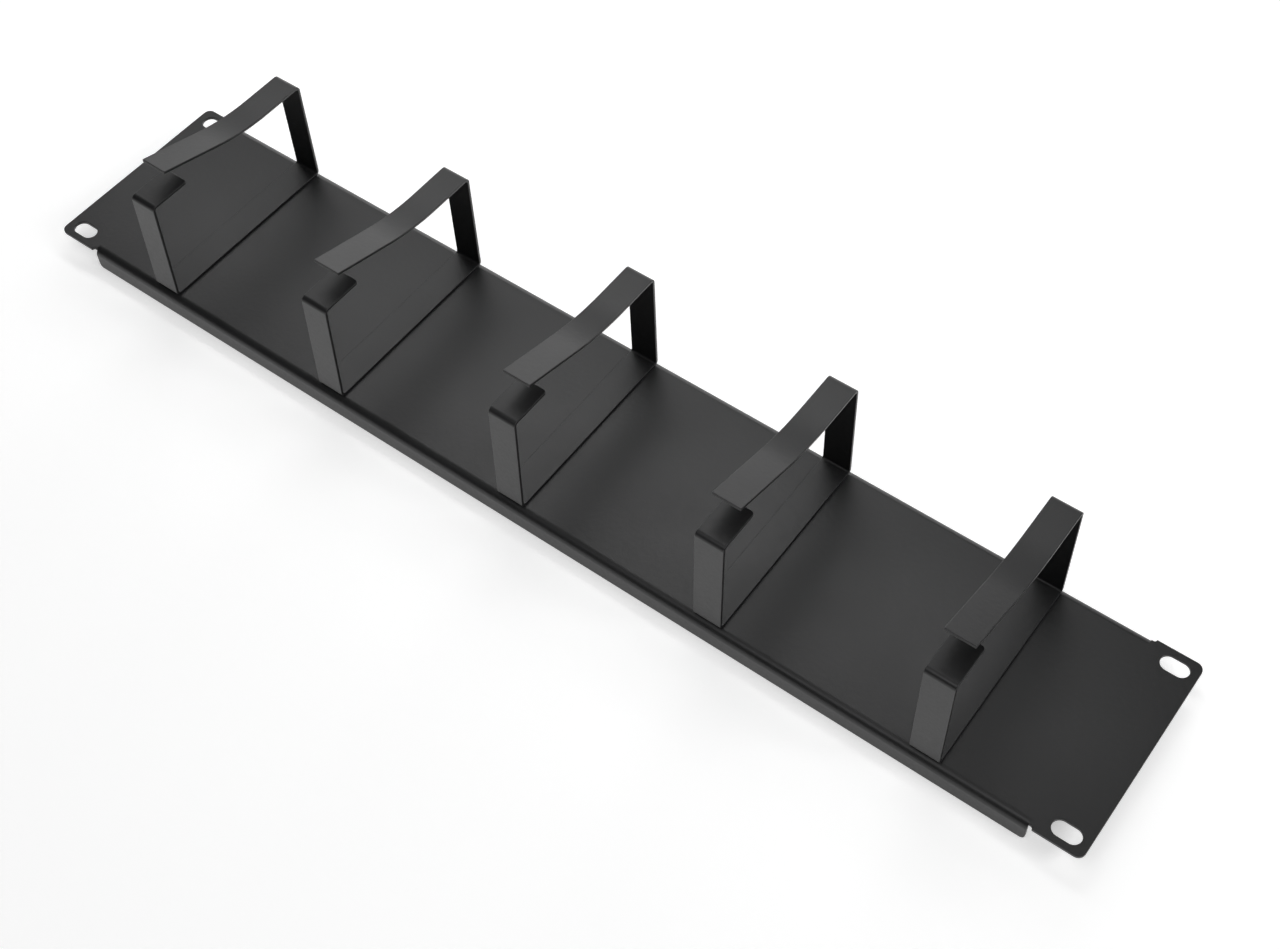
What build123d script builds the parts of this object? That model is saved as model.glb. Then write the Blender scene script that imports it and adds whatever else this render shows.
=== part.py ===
from build123d import *

import os

# Rack cable management panel, lying on its folded flanges with its cable rings up.
# +X runs across the rack, +Y up the rack and +Z out of the panel's front, in millimetres.
# The origin is the centre of the four mounting slots, on the rear face that meets the rack's rails.

# Mounting slots of a panel two rack units high
slot_spacing_across = 465.1
slot_spacing_up = 76.2
slot_length = 11.0
slot_height = 6.5
ear_end_margin = 8.75
ear_side_margin = 5.95
ear_corner_radius = 3.0

# Folded sheet
sheet_thickness = 1.5
fold_inside_radius = 2.0
fold_depth = 10.4
fold_end_inset = 11.55
fold_side_inset = 0.1
flange_corner_radius = 2.0
relief_width = 1.6
relief_depth = 1.1

# Cable rings, each folded from one strip
ring_count = 5
ring_end_inset = 41.0
ring_front_gap = 1.85
ring_rear_gap = 1.15
strip_width = 12.0
strip_thickness = 1.2
strip_inside_radius = 1.0
front_leg_height = 50.0
front_leg_lean = 1.75
return_plate_length = 18.0
return_plate_corner_radius = 1.5
rear_leg_height = 50.6
level_top_length = 32.0
lifted_end_setback = 11.2
lifted_end_rise = 11.4
lifted_bend_radius = 100.0

panel_width = slot_spacing_across + 2 * ear_end_margin
panel_height = slot_spacing_up + 2 * ear_side_margin
fold_length = slot_spacing_across - 2 * fold_end_inset
fold_height = panel_height - 2 * fold_side_inset
fold_outside_radius = fold_inside_radius + sheet_thickness
flat_height = fold_height - 2 * fold_outside_radius
ring_pitch = (fold_length - 2 * ring_end_inset) / (ring_count - 1)


def make_panel():
    """One sheet: a channel folded along both long edges, with a flat slotted ear at each end."""
    middle = sheet_thickness / 2
    fold_side = fold_height / 2 - middle
    flange_edge = sheet_thickness - fold_depth
    trim_height = (panel_height - flat_height) / 2
    relief_radius = relief_width / 2

    with BuildPart() as panel:
        # The flat sheet, with the strips beyond the folds' tangent lines trimmed away.
        with BuildSketch(Plane.XY):
            Rectangle(panel_width, panel_height)
            fillet(vertices(), ear_corner_radius)
            with GridLocations(0, panel_height - trim_height, 1, 2):
                Rectangle(fold_length, trim_height, mode=Mode.SUBTRACT)
            # Relief notches between the ears and the ends of the folds, rounded towards the ears.
            with GridLocations(fold_length, panel_height, 2, 2):
                RectangleRounded(2 * relief_width, 2 * relief_depth, relief_radius, mode=Mode.SUBTRACT)
            with GridLocations(slot_spacing_across, slot_spacing_up, 2, 2):
                SlotOverall(slot_length, slot_height, mode=Mode.SUBTRACT)
        extrude(amount=sheet_thickness)

        # The folded channel between the ears, along the middle of the sheet's thickness.
        with BuildSketch(Plane.YZ.offset(-fold_length / 2)):
            with BuildLine():
                FilletPolyline(
                    (-fold_side, flange_edge),
                    (-fold_side, middle),
                    (fold_side, middle),
                    (fold_side, flange_edge),
                    radius=fold_inside_radius + middle,
                )
            trace(line_width=sheet_thickness)
        extrude(amount=fold_length)

        # Rounded lower corners of the two flanges.
        fillet(panel.edges().filter_by(Axis.Y).group_by(Axis.Z)[0], flange_corner_radius)
    panel.part.label = "panel"
    return panel.part


def make_ring(number):
    """One open ring: the strip runs from its lifted free end round to the level return plate."""
    centre_x = (number - (ring_count + 1) / 2) * ring_pitch
    middle = strip_thickness / 2
    foot = sheet_thickness + middle
    front = ring_front_gap - fold_height / 2 + middle
    rear = fold_height / 2 - ring_rear_gap - middle
    top = sheet_thickness + rear_leg_height - middle
    plate = sheet_thickness + front_leg_height - middle
    plate_end = front + front_leg_lean + return_plate_length

    with BuildPart() as ring:
        with BuildSketch(Plane.YZ.offset(centre_x - strip_width / 2)):
            with BuildLine():
                FilletPolyline(
                    (front + lifted_end_setback, top + lifted_end_rise),
                    (rear - level_top_length, top),
                    (rear, top),
                    (rear, foot),
                    (front, foot),
                    (front + front_leg_lean, plate),
                    (plate_end, plate),
                    radius=(lifted_bend_radius, *[strip_inside_radius + middle] * 4),
                )
            trace(line_width=strip_thickness)
        extrude(amount=strip_width)

        # Rounded free corners of the return plate.
        plate_end_face = ring.faces().sort_by_distance((centre_x, plate_end, plate))[0]
        fillet(plate_end_face.edges().filter_by(Axis.Z), return_plate_corner_radius)
    ring.part.label = f"ring_{number}"
    return ring.part


os.makedirs("parts", exist_ok=True)
export_step(make_panel(), "parts/panel.step")
for ring_number in range(1, ring_count + 1):
    export_step(make_ring(ring_number), f"parts/ring_{ring_number}.step")
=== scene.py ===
import sys
import logging
import math
from dataclasses import dataclass
from enum import Enum
from typing import Any, Callable, Sequence

import bmesh
import bpy
from mathutils import Matrix, Vector


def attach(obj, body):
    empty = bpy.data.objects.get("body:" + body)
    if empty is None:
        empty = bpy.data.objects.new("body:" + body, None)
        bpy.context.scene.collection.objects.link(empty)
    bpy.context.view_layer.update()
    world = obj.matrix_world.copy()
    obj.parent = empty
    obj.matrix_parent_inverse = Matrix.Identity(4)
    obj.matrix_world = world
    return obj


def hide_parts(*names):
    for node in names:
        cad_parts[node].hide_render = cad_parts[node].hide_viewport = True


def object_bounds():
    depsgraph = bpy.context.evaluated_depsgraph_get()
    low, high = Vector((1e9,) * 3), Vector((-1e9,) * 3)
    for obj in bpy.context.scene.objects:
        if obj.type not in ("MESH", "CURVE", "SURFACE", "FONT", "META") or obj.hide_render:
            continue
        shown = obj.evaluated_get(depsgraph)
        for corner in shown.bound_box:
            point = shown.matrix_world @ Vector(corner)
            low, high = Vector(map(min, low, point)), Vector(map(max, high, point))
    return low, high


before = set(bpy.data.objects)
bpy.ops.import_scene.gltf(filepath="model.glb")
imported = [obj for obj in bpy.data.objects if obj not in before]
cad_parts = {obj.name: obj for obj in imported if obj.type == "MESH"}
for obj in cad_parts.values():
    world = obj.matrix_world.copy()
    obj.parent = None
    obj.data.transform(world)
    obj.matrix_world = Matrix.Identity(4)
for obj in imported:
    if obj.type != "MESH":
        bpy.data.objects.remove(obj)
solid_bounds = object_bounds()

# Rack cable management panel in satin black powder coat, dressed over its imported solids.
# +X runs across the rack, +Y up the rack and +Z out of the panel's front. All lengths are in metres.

log = logging.getLogger("cable_panel")

Colour = tuple[float, float, float, float]
Place = tuple[float, float, float]

MM = 0.001
MICRON = 1e-6
MERGE_DISTANCE = 2 * MICRON
# Slack in finding a face or an edge by where its middle lies
NEAR = 1.0 * MM
SLACK = 0.05 * MM
# Least cosine of an edge that runs along an axis, and of a face that is turned towards one
ALONG = 0.999
TOWARDS = 0.9
SHARP_ANGLE = math.radians(50)
FLAT_ANGLE = math.radians(0.1)
CIRCLE_PROFILE = 0.5
BODY = "root"
PHOTO_WIDTH = 1280


def place_in_scene(name: str, data: bpy.types.ID) -> bpy.types.Object:
    """Returns a new object of the scene that holds the data."""
    made = bpy.data.objects.new(name, data)
    bpy.context.scene.collection.objects.link(made)
    return made


class Axis(Enum):
    """The frame's three axes, as indices into a vector."""

    X = 0
    Y = 1
    Z = 2

    def along(self, length: float = 1.0) -> Vector:
        """Returns a vector of that length along the axis."""
        vector = Vector((0.0, 0.0, 0.0))
        vector[self.value] = length
        return vector


class Metal:
    """A closed sheet metal mesh, worked with bmesh operators."""

    def __init__(self) -> None:
        """Starts an empty mesh."""
        self.mesh = bmesh.new()

    def faces(self, test: Callable[[bmesh.types.BMFace], bool]) -> list[bmesh.types.BMFace]:
        """Returns the faces that pass a test."""
        self.mesh.normal_update()
        return [face for face in self.mesh.faces if test(face)]

    @staticmethod
    def region(faces: Sequence[bmesh.types.BMFace]) -> list[Any]:
        """Returns faces with their edges and corners, each once and in the same order every run."""
        edges = [edge for face in faces for edge in face.edges]
        verts = [vert for face in faces for vert in face.verts]
        return list(dict.fromkeys([*faces, *edges, *verts]))

    def push(self, faces: Sequence[bmesh.types.BMFace], travel: Vector) -> list[bmesh.types.BMFace]:
        """Extrudes faces as one region and moves them.

        Args:
            faces: the faces to extrude, side by side.
            travel: how far they go.

        Returns:
            The moved faces.
        """
        made = bmesh.ops.extrude_face_region(self.mesh, geom=self.region(faces))["geom"]
        moved = [item for item in made if isinstance(item, bmesh.types.BMVert)]
        bmesh.ops.translate(self.mesh, verts=moved, vec=travel)
        return [item for item in made if isinstance(item, bmesh.types.BMFace)]

    def bevel(
        self, edges: Sequence[bmesh.types.BMEdge], radius: float, segments: int, slide: bool = False
    ) -> None:
        """Rounds edges.

        Args:
            edges: the edges to round.
            radius: the radius of the new rounds.
            segments: how many faces make a round.
            slide: lets the new corners slide along the edges that stay sharp.
        """
        bmesh.ops.bevel(
            self.mesh, geom=edges, offset=radius, offset_type="OFFSET", segments=segments,
            profile=CIRCLE_PROFILE, affect="EDGES", material=-1, clamp_overlap=True, loop_slide=slide,
        )

    def round_corners(
        self, axis: Axis, radius: float, segments: int, test: Callable[[Vector], bool]
    ) -> int:
        """Rounds the edges that run along an axis and whose middle passes a test.

        Args:
            axis: the direction of the edges.
            radius: the radius of the new round.
            segments: how many faces make the round.
            test: says whether an edge with that middle is rounded.

        Returns:
            How many edges were rounded.
        """
        chosen = []
        for edge in self.mesh.edges:
            start, end = (vert.co for vert in edge.verts)
            direction = (end - start).normalized()
            if abs(direction[axis.value]) > ALONG and test((start + end) / 2):
                chosen.append(edge)
        self.bevel(chosen, radius, segments)
        bmesh.ops.remove_doubles(self.mesh, verts=self.mesh.verts, dist=MERGE_DISTANCE)
        self.settle()
        return len(chosen)

    def settle(self) -> None:
        """Builds the mesh anew in order of place, because a bevel shuffles it on every run."""
        verts = sorted(self.mesh.verts, key=lambda vert: [round(value / MICRON) for value in vert.co])
        numbers = {vert: number for number, vert in enumerate(verts)}
        outlines = []
        for face in self.mesh.faces:
            outline = [numbers[vert] for vert in face.verts]
            first = outline.index(min(outline))
            outlines.append(outline[first:] + outline[:first])
        settled = bmesh.new()
        corners = [settled.verts.new(vert.co) for vert in verts]
        for outline in sorted(outlines):
            settled.faces.new([corners[number] for number in outline])
        self.mesh.free()
        self.mesh = settled

    def merge_flats(self, test: Callable[[bmesh.types.BMFace], bool]) -> None:
        """Joins the flat faces that pass a test, where they lie in one plane."""
        faces = set(self.faces(test))
        inside = [
            edge for edge in self.mesh.edges
            if edge.is_manifold and faces.issuperset(edge.link_faces)
        ]
        verts = list(dict.fromkeys(vert for edge in inside for vert in edge.verts))
        bmesh.ops.dissolve_limit(self.mesh, angle_limit=FLAT_ANGLE, verts=verts, edges=inside)

    def cut(
        self, test: Callable[[bmesh.types.BMFace], bool], planes: Sequence[tuple[Axis, float]]
    ) -> None:
        """Cuts the faces that pass a test.

        Args:
            test: says whether a face is cut.
            planes: the cuts, each as the axis that it is square to and its place there.
        """
        for axis, place in planes:
            bmesh.ops.bisect_plane(
                self.mesh, geom=self.region(self.faces(test)), dist=MERGE_DISTANCE / 2,
                plane_co=axis.along(place), plane_no=axis.along(),
            )

    def close_cuts(self, planes: Sequence[tuple[Axis, float]]) -> None:
        """Closes cuts again, wherever the metal is still flat across them."""
        self.mesh.normal_update()

        def is_in(edge: bmesh.types.BMEdge, axis: Axis, place: float) -> bool:
            """Says whether an edge lies in a plane."""
            return all(abs(vert.co[axis.value] - place) < MERGE_DISTANCE for vert in edge.verts)

        closed = [
            edge for edge in self.mesh.edges
            if edge.is_manifold
            and edge.calc_face_angle(0.0) < FLAT_ANGLE
            and any(is_in(edge, axis, place) for axis, place in planes)
        ]
        bmesh.ops.dissolve_edges(self.mesh, edges=closed, use_verts=True, use_face_split=False)

    def soften_rims(
        self, radius: float, segments: int,
        spared: Callable[[bmesh.types.BMEdge], bool] | None = None,
    ) -> None:
        """Rounds every sheared edge by the small radius that a coat of powder leaves on it.

        Args:
            radius: the radius of the rounding.
            segments: how many faces make it.
            spared: says whether an edge stays sharp.
        """
        self.mesh.normal_update()
        chosen = [
            edge for edge in self.mesh.edges
            if edge.is_manifold
            and edge.calc_face_angle(0.0) > SHARP_ANGLE
            and not (spared and spared(edge))
        ]
        self.bevel(chosen, radius, segments, slide=True)

    def finish(self, name: str, material: bpy.types.Material) -> bpy.types.Object:
        """Makes the mesh an object of the scene, smooth, with its flat faces kept flat.

        Args:
            name: the piece's name.
            material: its finish.

        Returns:
            The new object, at the origin, with its place in its mesh.
        """
        bmesh.ops.remove_doubles(self.mesh, verts=self.mesh.verts, dist=MERGE_DISTANCE / 4)
        self.settle()
        bmesh.ops.recalc_face_normals(self.mesh, faces=self.mesh.faces)
        open_edges = sum(not edge.is_manifold for edge in self.mesh.edges)
        volume = self.mesh.calc_volume(signed=True) / MM**3
        log.info(
            "%s: %d faces, %d open edges, %.0f mm3", name, len(self.mesh.faces), open_edges, volume
        )
        data = bpy.data.meshes.new(name)
        self.mesh.to_mesh(data)
        self.mesh.free()
        data.shade_smooth()
        data.materials.append(material)
        piece = place_in_scene(name, data)
        normals = piece.modifiers.new("flat_faces_stay_flat", "WEIGHTED_NORMAL")
        normals.mode = "FACE_AREA"
        return piece


class PressBrake:
    """Sweeps a blank's cross-section along straight runs and round bends."""

    fewest_steps = 10

    def __init__(self, metal: Metal, width: float, thickness: float, steps: int) -> None:
        """Sets the machine up.

        Args:
            metal: the mesh that the sheet goes into.
            width: the blank's width along X.
            thickness: the blank's thickness.
            steps: how many faces a bend of a right angle gets.
        """
        self.metal = metal
        self.width = width
        self.thickness = thickness
        self.steps = steps

    @staticmethod
    def left_of(heading: Vector) -> Vector:
        """Returns the direction to the left of a heading, across the line."""
        return Vector((0.0, -heading.z, heading.y))

    def fold(
        self, middle_x: float, corners: Sequence[tuple[float, float]], radii: Sequence[float]
    ) -> None:
        """Folds one closed sheet along a line through the middle of its thickness.

        Args:
            middle_x: the middle of the blank's width.
            corners: the line's corners as pairs of Y and Z, ends among them.
            radii: the line's radius at each corner between the ends.
        """
        line = [Vector((middle_x, y, z)) for y, z in corners]
        headings = [(after - before).normalized() for before, after in zip(line, line[1:])]
        place = line[0]
        end = self.blank(place, headings[0])
        for corner, radius, before, after in zip(line[1:], radii, headings, headings[1:]):
            left = self.left_of(before)
            turn = math.atan2(left.dot(after), before.dot(after))
            reach = radius * math.tan(abs(turn) / 2)
            tangent = corner - before * reach
            end = self.metal.push([end], tangent - place)[0]
            end = self.bend(end, tangent + left * math.copysign(radius, turn), turn)
            place = corner + after * reach
        self.metal.push([end], line[-1] - place)
        bmesh.ops.recalc_face_normals(self.metal.mesh, faces=self.metal.mesh.faces)

    def blank(self, place: Vector, heading: Vector) -> bmesh.types.BMFace:
        """Returns the cross-section that a sweep starts from, square to its heading."""
        across = Axis.X.along(self.width)
        facing = Matrix((across, self.left_of(heading) * self.thickness, heading)).transposed()
        matrix = Matrix.Translation(place) @ facing.to_4x4()
        made = bmesh.ops.create_grid(
            self.metal.mesh, x_segments=1, y_segments=1, size=0.5, matrix=matrix
        )
        return made["verts"][0].link_faces[0]

    def bend(self, end: bmesh.types.BMFace, centre: Vector, turn: float) -> bmesh.types.BMFace:
        """Spins the sweep's end face round a bend and returns the new end face."""
        steps = max(self.fewest_steps, round(self.steps * abs(turn) / (math.pi / 2)))
        made = bmesh.ops.spin(
            self.metal.mesh, geom=[end, *end.edges, *end.verts], cent=centre, axis=Axis.X.along(),
            angle=turn, steps=steps, use_merge=False, use_duplicate=False,
        )
        return next(item for item in made["geom_last"] if isinstance(item, bmesh.types.BMFace))


@dataclass
class FoldedPanel:
    """The folded sheet: a channel with a flat slotted ear at each end."""

    material: bpy.types.Material
    slot_spacing_across: float = 465.1 * MM
    slot_spacing_up: float = 76.2 * MM
    slot_length: float = 11.0 * MM
    slot_height: float = 6.5 * MM
    slot_steps: int = 10
    width: float = 482.6 * MM
    height: float = 88.1 * MM
    ear_corner_radius: float = 3.0 * MM
    ear_corner_steps: int = 10
    thickness: float = 1.5 * MM
    fold_length: float = 442.0 * MM
    fold_height: float = 87.9 * MM
    fold_inside_radius: float = 2.0 * MM
    fold_depth: float = 10.4 * MM
    fold_steps: int = 16
    flange_corner_radius: float = 2.0 * MM
    flange_corner_steps: int = 8
    relief_width: float = 1.6 * MM
    relief_depth: float = 1.1 * MM
    relief_root_steps: int = 6
    relief_corner_radius: float = 0.3 * MM
    relief_corner_steps: int = 3
    tear_opening: float = 0.05 * MM
    tear_root: float = 0.6 * MM
    rim_radius: float = 0.25 * MM
    rim_segments: int = 3

    @property
    def fold_end(self) -> float:
        """Returns how far from the middle the folds end, across the rack."""
        return self.fold_length / 2

    @property
    def notch_end(self) -> float:
        """Returns how far from the middle the relief notches end, across the rack."""
        return self.fold_end + self.relief_width

    @property
    def notch_root(self) -> float:
        """Returns how far from the middle the relief notches' roots are, up the rack."""
        return self.height / 2 - self.relief_depth

    @property
    def tangent(self) -> float:
        """Returns how far from the middle the flat sheet becomes a fold, up the rack."""
        return self.fold_height / 2 - self.fold_inside_radius - self.thickness

    def build(self) -> bpy.types.Object:
        """Builds the panel.

        Returns:
            The panel's object.
        """
        metal = Metal()
        self.fold_channel(metal)
        for side in (-1, 1):
            self.draw_ear(metal, side)
        metal.merge_flats(self.is_on_ear)
        self.round_outline(metal)
        for side in (-1, 1):
            self.punch_slots(metal, side)
        metal.soften_rims(self.rim_radius, self.rim_segments, self.is_torn)
        return metal.finish("panel_sheet", self.material)

    def fold_channel(self, metal: Metal) -> None:
        """Folds the channel between the ears."""
        middle = self.thickness / 2
        side = self.fold_height / 2 - middle
        edge = self.thickness - self.fold_depth
        brake = PressBrake(metal, self.fold_length, self.thickness, self.fold_steps)
        corners = ((-side, edge), (-side, middle), (side, middle), (side, edge))
        brake.fold(0.0, corners, (self.fold_inside_radius + middle,) * 2)

    def draw_ear(self, metal: Metal, side: int) -> None:
        """Draws one ear out of the channel's end.

        Args:
            metal: the mesh, with its channel folded.
            side: -1 for the left ear and 1 for the right.
        """

        def is_end(face: bmesh.types.BMFace) -> bool:
            """Says whether a face is the flat sheet's end, between the folds."""
            centre = face.calc_center_median()
            return abs(centre.x - side * self.fold_end) < MERGE_DISTANCE and abs(centre.y) < NEAR

        ends = metal.push(metal.faces(is_end), Axis.X.along(side * self.relief_width))
        metal.push(ends, Axis.X.along(side * (self.width / 2 - self.notch_end)))
        for up in (-1, 1):

            def is_edge(face: bmesh.types.BMFace) -> bool:
                """Says whether a face is on the new sheet's long edge."""
                centre = face.calc_center_median()
                return side * centre.x > self.fold_end and up * face.normal.y > TOWARDS

            rest = self.notch_root - self.tangent - self.tear_root
            strip = metal.push(metal.faces(is_edge), Axis.Y.along(up * self.tear_root))
            strip = metal.push(strip, Axis.Y.along(up * rest))
            for vert in {vert for face in strip for vert in face.verts}:
                if abs(vert.co.x - side * self.fold_end) < MERGE_DISTANCE:
                    vert.co.x += side * self.tear_opening
            outer = [face for face in strip if side * face.calc_center_median().x > self.notch_end]
            metal.push(outer, Axis.Y.along(up * self.relief_depth))

    def round_outline(self, metal: Metal) -> None:
        """Rounds the ears' corners, the relief notches and the flanges' lower corners."""

        def is_ear(middle: Vector) -> bool:
            """Says whether an upright edge is an ear's outer corner."""
            return abs(middle.x) > self.width / 2 - NEAR and abs(middle.y) > self.height / 2 - NEAR

        def is_beside_notch(middle: Vector) -> bool:
            """Says whether an edge is on the notches' side towards the ears."""
            return abs(abs(middle.x) - self.notch_end) < MERGE_DISTANCE

        def is_notch(middle: Vector) -> bool:
            """Says whether an upright edge is a notch's root corner."""
            return is_beside_notch(middle) and abs(abs(middle.y) - self.notch_root) < MERGE_DISTANCE

        def is_inner(middle: Vector) -> bool:
            """Says whether an upright edge is an ear's inner corner."""
            return is_beside_notch(middle) and abs(middle.y) > self.height / 2 - MERGE_DISTANCE

        def is_flange(middle: Vector) -> bool:
            """Says whether an edge across a flange is its lower corner."""
            return middle.z < self.thickness - self.fold_depth + MERGE_DISTANCE

        rounds = (
            (Axis.Z, self.ear_corner_radius, self.ear_corner_steps, is_ear),
            (Axis.Z, self.relief_width / 2, self.relief_root_steps, is_notch),
            (Axis.Z, self.relief_corner_radius, self.relief_corner_steps, is_inner),
            (Axis.Y, self.flange_corner_radius, self.flange_corner_steps, is_flange),
        )
        for axis, radius, segments, test in rounds:
            count = metal.round_corners(axis, radius, segments, test)
            log.info("rounded %d corners by %.2f mm", count, radius / MM)

    def punch_slots(self, metal: Metal, side: int) -> None:
        """Punches the two mounting slots of one ear.

        Args:
            metal: the mesh, with its ears drawn.
            side: -1 for the left ear and 1 for the right.
        """

        def is_this_ear(face: bmesh.types.BMFace) -> bool:
            """Says whether a face is on this ear, clear of the tear beside it."""
            return side * face.calc_center_median().x > self.fold_end + self.tear_opening

        across = side * self.slot_spacing_across / 2
        rows = [up * self.slot_spacing_up / 2 for up in (-1, 1)]
        reach = (self.slot_length / 2, self.slot_height / 2)
        sides = [(Axis.X, across + step * reach[0]) for step in (-1, 1)]
        sides += [(Axis.Y, row + step * reach[1]) for row in rows for step in (-1, 1)]
        metal.cut(is_this_ear, sides)
        for row in rows:
            middle = Vector((across, row, 0.0))

            def is_plug(face: bmesh.types.BMFace) -> bool:
                """Says whether a face covers the slot."""
                offset = face.calc_center_median() - middle
                return abs(face.normal.z) > TOWARDS and max(abs(offset.x), abs(offset.y)) < NEAR

            plugs = metal.faces(is_plug)
            rims = [edge for face in plugs for edge in face.edges]
            bmesh.ops.delete(metal.mesh, geom=plugs, context="FACES_ONLY")
            bmesh.ops.bridge_loops(metal.mesh, edges=rims)
        metal.cut(is_this_ear, [(Axis.X, across), *((Axis.Y, row) for row in rows)])
        metal.close_cuts(sides)

        def is_corner(point: Vector) -> bool:
            """Says whether an upright edge is a corner of one of the slots."""
            offsets = [(abs(point.x - across), abs(point.y - row)) for row in rows]
            return any(math.dist(offset, reach) < MERGE_DISTANCE for offset in offsets)

        metal.round_corners(Axis.Z, self.slot_height / 2, self.slot_steps, is_corner)

    def is_on_ear(self, face: bmesh.types.BMFace) -> bool:
        """Says whether a face is on an ear."""
        return abs(face.calc_center_median().x) > self.fold_end + MERGE_DISTANCE

    def is_torn(self, edge: bmesh.types.BMEdge) -> bool:
        """Says whether an edge is hidden in the tear between an ear and a fold."""
        middle = (edge.verts[0].co + edge.verts[1].co) / 2
        is_in_opening = -MERGE_DISTANCE < abs(middle.x) - self.fold_end < self.tear_opening
        is_along_tear = self.tangent < abs(middle.y) + MERGE_DISTANCE < self.notch_root
        return is_in_opening and is_along_tear and middle.z > -SLACK


@dataclass
class CableRing:
    """One open cable ring, folded from a strip with a lifted free end and a level return plate."""

    number: int
    material: bpy.types.Material
    ring_count: int = 5
    pitch: float = 90.0 * MM
    sheet_thickness: float = 1.5 * MM
    fold_height: float = 87.9 * MM
    front_gap: float = 1.85 * MM
    rear_gap: float = 1.15 * MM
    width: float = 12.0 * MM
    thickness: float = 1.2 * MM
    inside_radius: float = 1.0 * MM
    front_leg_height: float = 50.0 * MM
    front_leg_lean: float = 1.75 * MM
    return_plate_length: float = 18.0 * MM
    return_plate_corner_radius: float = 1.5 * MM
    return_plate_corner_steps: int = 8
    rear_leg_height: float = 50.6 * MM
    level_top_length: float = 32.0 * MM
    lifted_end_setback: float = 11.2 * MM
    lifted_end_rise: float = 11.4 * MM
    lifted_bend_radius: float = 100.0 * MM
    steps: int = 12
    # The bends' short steps leave room for only 0.03 mm of it
    rim_radius: float = 0.22 * MM
    rim_segments: int = 3

    def build(self) -> bpy.types.Object:
        """Builds the ring.

        Returns:
            The ring's object.
        """
        middle = self.thickness / 2
        foot = self.sheet_thickness + middle
        front = self.front_gap - self.fold_height / 2 + middle
        rear = self.fold_height / 2 - self.rear_gap - middle
        top = self.sheet_thickness + self.rear_leg_height - middle
        plate = self.sheet_thickness + self.front_leg_height - middle
        plate_end = front + self.front_leg_lean + self.return_plate_length
        metal = Metal()
        brake = PressBrake(metal, self.width, self.thickness, self.steps)
        brake.fold(
            (self.number - (self.ring_count + 1) / 2) * self.pitch,
            (
                (front + self.lifted_end_setback, top + self.lifted_end_rise),
                (rear - self.level_top_length, top),
                (rear, top),
                (rear, foot),
                (front, foot),
                (front + self.front_leg_lean, plate),
                (plate_end, plate),
            ),
            (self.lifted_bend_radius, *[self.inside_radius + middle] * 4),
        )

        def is_plate_corner(point: Vector) -> bool:
            """Says whether an upright edge is a free corner of the return plate."""
            return abs(point.y - plate_end) < MERGE_DISTANCE and abs(point.z - plate) < NEAR

        metal.round_corners(
            Axis.Z, self.return_plate_corner_radius, self.return_plate_corner_steps, is_plate_corner
        )
        metal.soften_rims(self.rim_radius, self.rim_segments)
        return metal.finish(f"cable_ring_{self.number}", self.material)


class Socket:
    """One output of a node, with Python's operators as shader maths on single values."""

    def __init__(self, bench: "NodeBench", output: bpy.types.NodeSocket | None) -> None:
        """Wraps an output."""
        self.bench = bench
        self.output = output

    def math(self, operation: str, first: Any, second: Any) -> "Socket":
        """Returns a Math node's result on two values or sockets."""
        return self.bench.node("ShaderNodeMath", {"operation": operation}, {0: first, 1: second})

    def __add__(self, other: Any) -> "Socket":
        """Returns the sum."""
        return self.math("ADD", self, other)

    def __radd__(self, other: Any) -> "Socket":
        """Returns the sum, with this socket on the right."""
        return self.math("ADD", other, self)

    def __sub__(self, other: Any) -> "Socket":
        """Returns the difference."""
        return self.math("SUBTRACT", self, other)

    def __rsub__(self, other: Any) -> "Socket":
        """Returns the difference, with this socket on the right."""
        return self.math("SUBTRACT", other, self)

    def __mul__(self, other: Any) -> "Socket":
        """Returns the product."""
        return self.math("MULTIPLY", self, other)

    def __rmul__(self, other: Any) -> "Socket":
        """Returns the product, with this socket on the right."""
        return self.math("MULTIPLY", other, self)


class NodeBench:
    """Makes the nodes of one material or world."""

    def __init__(self, tree: bpy.types.NodeTree) -> None:
        """Clears a node tree for new nodes."""
        self.tree = tree
        tree.nodes.clear()

    def node(
        self, kind: str, settings: dict[str, Any] | None = None,
        inputs: dict[int | str, Any] | None = None, output: int | str = 0,
    ) -> Socket:
        """Makes one node.

        Args:
            kind: the node's type.
            settings: its properties, set first; a ramp's stops go under "stops".
            inputs: values, or sockets to link, by socket name or index.
            output: which of its outputs is wanted.

        Returns:
            That output.
        """
        made = self.tree.nodes.new(kind)
        for name, value in (settings or {}).items():
            if name == "stops":
                for element, (position, colour) in zip(self.stops(made.color_ramp, len(value)), value):
                    element.position, element.color = position, colour
            else:
                setattr(made, name, value)
        for name, value in (inputs or {}).items():
            socket = made.inputs[name]
            if isinstance(value, Socket):
                self.tree.links.new(value.output, socket)
            else:
                socket.default_value = value
        return Socket(self, made.outputs[output] if len(made.outputs) else None)

    @staticmethod
    def stops(ramp: bpy.types.ColorRamp, count: int) -> list[bpy.types.ColorRampElement]:
        """Returns a ramp's stops, made up to a count."""
        while len(ramp.elements) < count:
            ramp.elements.new(1.0)
        return list(ramp.elements)

    def mix(self, factor: Any, first: Any, second: Any) -> Socket:
        """Returns a colour between two colours."""
        colours = {"Factor": factor, 6: first, 7: second}
        return self.node("ShaderNodeMix", {"data_type": "RGBA"}, colours, 2)

    def noise(self, place: Socket, scale: float, detail: float) -> Socket:
        """Returns a noise of that many cells a metre, from 0 to 1."""
        inputs = {"Vector": place, "Scale": scale, "Detail": detail, "Roughness": 0.5}
        return self.node("ShaderNodeTexNoise", {"noise_dimensions": "3D"}, inputs)


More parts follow.
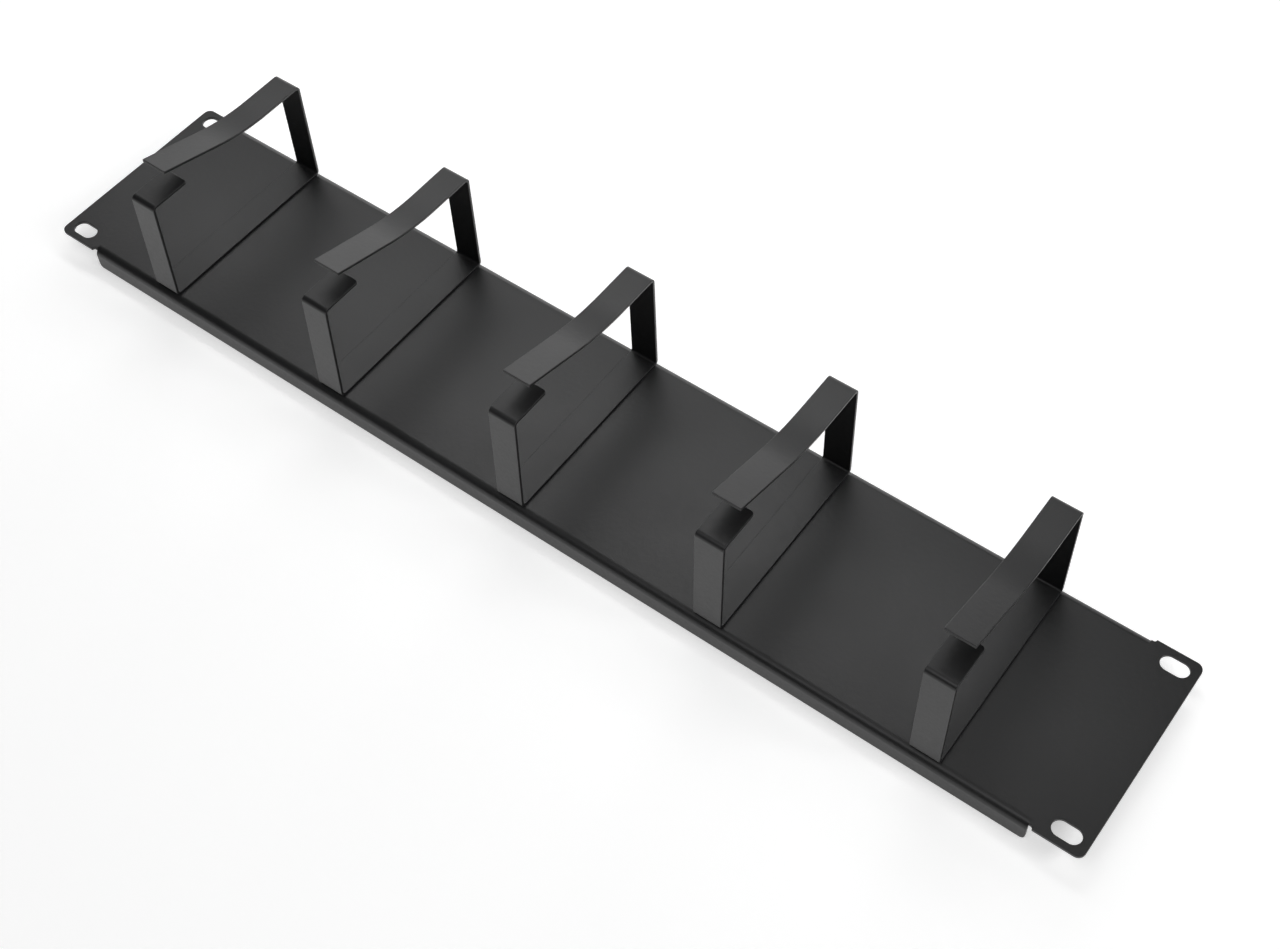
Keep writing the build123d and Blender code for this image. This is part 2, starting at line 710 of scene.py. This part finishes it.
@dataclass(frozen=True)
class PowderCoat:
    """Satin black polyester powder, baked on steel: a faint orange peel with a fine grain."""

    name: str = "satin_black_powder_coat"
    deep_colour: Colour = (0.0085, 0.0085, 0.0090, 1.0)
    pale_colour: Colour = (0.0125, 0.0125, 0.0130, 1.0)
    refraction: float = 1.5
    roughness: float = 0.40
    roughness_swing: float = 0.12
    peel_scale: float = 520.0
    peel_detail: float = 2.0
    grain_scale: float = 2600.0
    grain_detail: float = 1.0
    cloud_scale: float = 28.0
    cloud_detail: float = 3.0
    mottle_scale: float = 900.0
    mottle_detail: float = 1.0
    noise_middle: float = 0.5
    peel_share: float = 0.90
    mottle_share: float = 0.6
    relief: float = 0.045 * MM
    relief_strength: float = 1.0

    def make(self) -> bpy.types.Material:
        """Returns the finish as a material."""
        material = bpy.data.materials.new(self.name)
        material.use_nodes = True
        bench = NodeBench(material.node_tree)
        place = bench.node("ShaderNodeTexCoord", output="Object")
        peel = bench.noise(place, self.peel_scale, self.peel_detail)
        grain = bench.noise(place, self.grain_scale, self.grain_detail)
        cloud = bench.noise(place, self.cloud_scale, self.cloud_detail)
        mottle = bench.noise(place, self.mottle_scale, self.mottle_detail)
        height = peel * self.peel_share + grain * (1 - self.peel_share)
        normal = bench.node(
            "ShaderNodeBump", None,
            {"Strength": self.relief_strength, "Distance": self.relief, "Height": height},
        )
        shade = cloud * (1 - self.mottle_share) + mottle * self.mottle_share
        colour = bench.mix(shade, self.deep_colour, self.pale_colour)
        swing = self.roughness_swing
        roughness = (
            self.roughness + (cloud - self.noise_middle) * swing + (mottle - self.noise_middle) * swing
        )
        shader = bench.node(
            "ShaderNodeBsdfPrincipled", None,
            {"Base Color": colour, "Roughness": roughness, "Normal": normal, "IOR": self.refraction},
        )
        bench.node("ShaderNodeOutputMaterial", None, {"Surface": shader})
        return material


@dataclass(frozen=True)
class PaleFloor:
    """The plain pale floor that the panel lies on, a little brighter far away."""

    level: float
    half_width: float = 12.0
    segments: int = 8
    colour: Colour = (0.80, 0.80, 0.80, 1.0)
    roughness: float = 0.9
    near_glow: Colour = (0.49, 0.49, 0.49, 1.0)
    far_glow: Colour = (0.96, 0.96, 0.96, 1.0)
    fade_start: float = 0.7
    fade_end: float = 2.2

    def make_material(self) -> bpy.types.Material:
        """Returns the floor's matt material."""
        material = bpy.data.materials.new("pale_floor")
        material.use_nodes = True
        bench = NodeBench(material.node_tree)
        place = bench.node("ShaderNodeTexCoord", output="Object")
        reach = bench.node("ShaderNodeVectorMath", {"operation": "LENGTH"}, {0: place}, "Value")
        fade = bench.node(
            "ShaderNodeMapRange", {"interpolation_type": "SMOOTHSTEP"},
            {"Value": reach, "From Min": self.fade_start, "From Max": self.fade_end},
        )
        glow = bench.mix(fade, self.near_glow, self.far_glow)
        shader = bench.node(
            "ShaderNodeBsdfPrincipled", None,
            {
                "Base Color": self.colour, "Roughness": self.roughness, "Specular IOR Level": 0.0,
                "Emission Color": glow, "Emission Strength": 1.0,
            },
        )
        bench.node("ShaderNodeOutputMaterial", None, {"Surface": shader})
        return material

    def build(self) -> bpy.types.Object:
        """Builds the floor."""
        mesh = bmesh.new()
        bmesh.ops.create_grid(
            mesh, x_segments=self.segments, y_segments=self.segments, size=self.half_width,
            matrix=Matrix.Translation(Axis.Z.along(self.level)),
        )
        data = bpy.data.meshes.new("floor")
        mesh.to_mesh(data)
        mesh.free()
        data.materials.append(self.make_material())
        floor = place_in_scene("floor", data)
        return floor


@dataclass(frozen=True)
class SoftBox:
    """One soft light with an even rectangular face, turned towards a point."""

    name: str
    place: Place
    width: float
    height: float
    radiance: float
    aim: Place = (0.0, 0.0, 0.0)

    def build(self) -> bpy.types.Object:
        """Hangs the light.

        Returns:
            The light's object.
        """
        data = bpy.data.lights.new(self.name, "AREA")
        data.shape = "RECTANGLE"
        data.size = self.width
        data.size_y = self.height
        data.energy = self.radiance * self.width * self.height * math.pi
        light = place_in_scene(self.name, data)
        light.location = self.place
        light.rotation_mode = "QUATERNION"
        light.rotation_quaternion = (Vector(self.place) - Vector(self.aim)).to_track_quat("Z", "Y")
        light.visible_camera = False
        return light


@dataclass(frozen=True)
class Studio:
    """The floor, the room's own dim light and the soft boxes."""

    room_colour: Colour = (1.0, 1.0, 1.0, 1.0)
    room_light: float = 0.03
    boxes: tuple[SoftBox, ...] = (
        SoftBox("low_bar", (-0.18, 0.115, 0.22), 0.80, 0.04, 1.5, aim=(-0.18, 0.115, 0.0)),
        SoftBox("middle_bar", (-0.27, 0.2, 0.4), 0.90, 0.06, 2.8, aim=(-0.27, 0.2, 0.0)),
        SoftBox("high_bar", (-0.6, 0.48, 1.25), 1.20, 0.14, 2.3),
        SoftBox("back_strip", (-0.64, 1.2, 0.63), 1.20, 0.22, 3.9),
        SoftBox("low_back_box", (-0.55, 1.36, 0.34), 1.50, 0.32, 2.6),
        SoftBox("high_left_box", (-0.76, 0.44, 1.21), 0.50, 0.58, 0.5),
        SoftBox("high_front_box", (0.0, -0.84, 1.24), 0.70, 0.58, 2.3),
        SoftBox("right_box", (1.24, 0.11, 0.84), 0.70, 0.58, 6.2),
        SoftBox("top_box", (0.0, 0.0, 1.5), 1.20, 1.20, 0.5),
    )

    def build(self, level: float) -> None:
        """Sets the studio up.

        Args:
            level: the floor's height.
        """
        PaleFloor(level).build()
        for box in self.boxes:
            box.build()
        world = bpy.data.worlds.new("room")
        bpy.context.scene.world = world
        world.use_nodes = True
        bench = NodeBench(world.node_tree)
        seen = bench.node("ShaderNodeLightPath", output="Is Camera Ray")
        strength = self.room_light + seen * (1.0 - self.room_light)
        light = {"Color": self.room_colour, "Strength": strength}
        background = bench.node("ShaderNodeBackground", None, light)
        bench.node("ShaderNodeOutputWorld", None, {"Surface": background})
        bpy.context.scene.view_settings.view_transform = "Standard"


@dataclass(frozen=True)
class PhotoCamera:
    """The camera at the photograph's viewing angle, with the lens shift of its crop."""

    location: Place = (0.297, -0.327024, 0.588204)
    forward: Place = (-0.375213, 0.476376, -0.795161)
    roll: float = -2.2947
    focal_length_pixels: float = 1915.12
    lens_shift: tuple[float, float] = (-0.01515, -0.05039)
    sensor_width: float = 36.0
    clip_range: tuple[float, float] = (0.01, 100.0)

    def build(self) -> bpy.types.Object:
        """Makes the scene's camera."""
        data = bpy.data.cameras.new("photo_camera")
        data.sensor_fit = "HORIZONTAL"
        data.sensor_width = self.sensor_width
        data.lens = self.focal_length_pixels / PHOTO_WIDTH * self.sensor_width
        data.shift_x, data.shift_y = self.lens_shift
        data.clip_start, data.clip_end = self.clip_range
        camera = place_in_scene("photo_camera", data)
        camera.location = self.location
        turn = Vector(self.forward).to_track_quat("-Z", "Y").to_matrix().to_4x4()
        camera.rotation_euler = (turn @ Matrix.Rotation(math.radians(self.roll), 4, "Z")).to_euler()
        bpy.context.scene.camera = camera
        return camera


def dress(piece: bpy.types.Object, node: str) -> None:
    """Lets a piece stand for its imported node.

    Args:
        piece: the new piece.
        node: the node's name.
    """
    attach(piece, BODY)
    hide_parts(node)
    log.info("%s stands for %s, with %d faces", piece.name, node, len(piece.data.polygons))


def main() -> None:
    """Builds the camera, the studio and every piece, and dresses the frame."""
    logging.basicConfig(level=logging.INFO, format="%(message)s", stream=sys.stdout)
    PhotoCamera().build()
    Studio().build(solid_bounds[0].z)
    coat = PowderCoat().make()
    dress(FoldedPanel(coat).build(), "panel")
    for number in range(1, CableRing.ring_count + 1):
        dress(CableRing(number, coat).build(), f"ring_{number}")


if __name__ == "__main__":
    main()
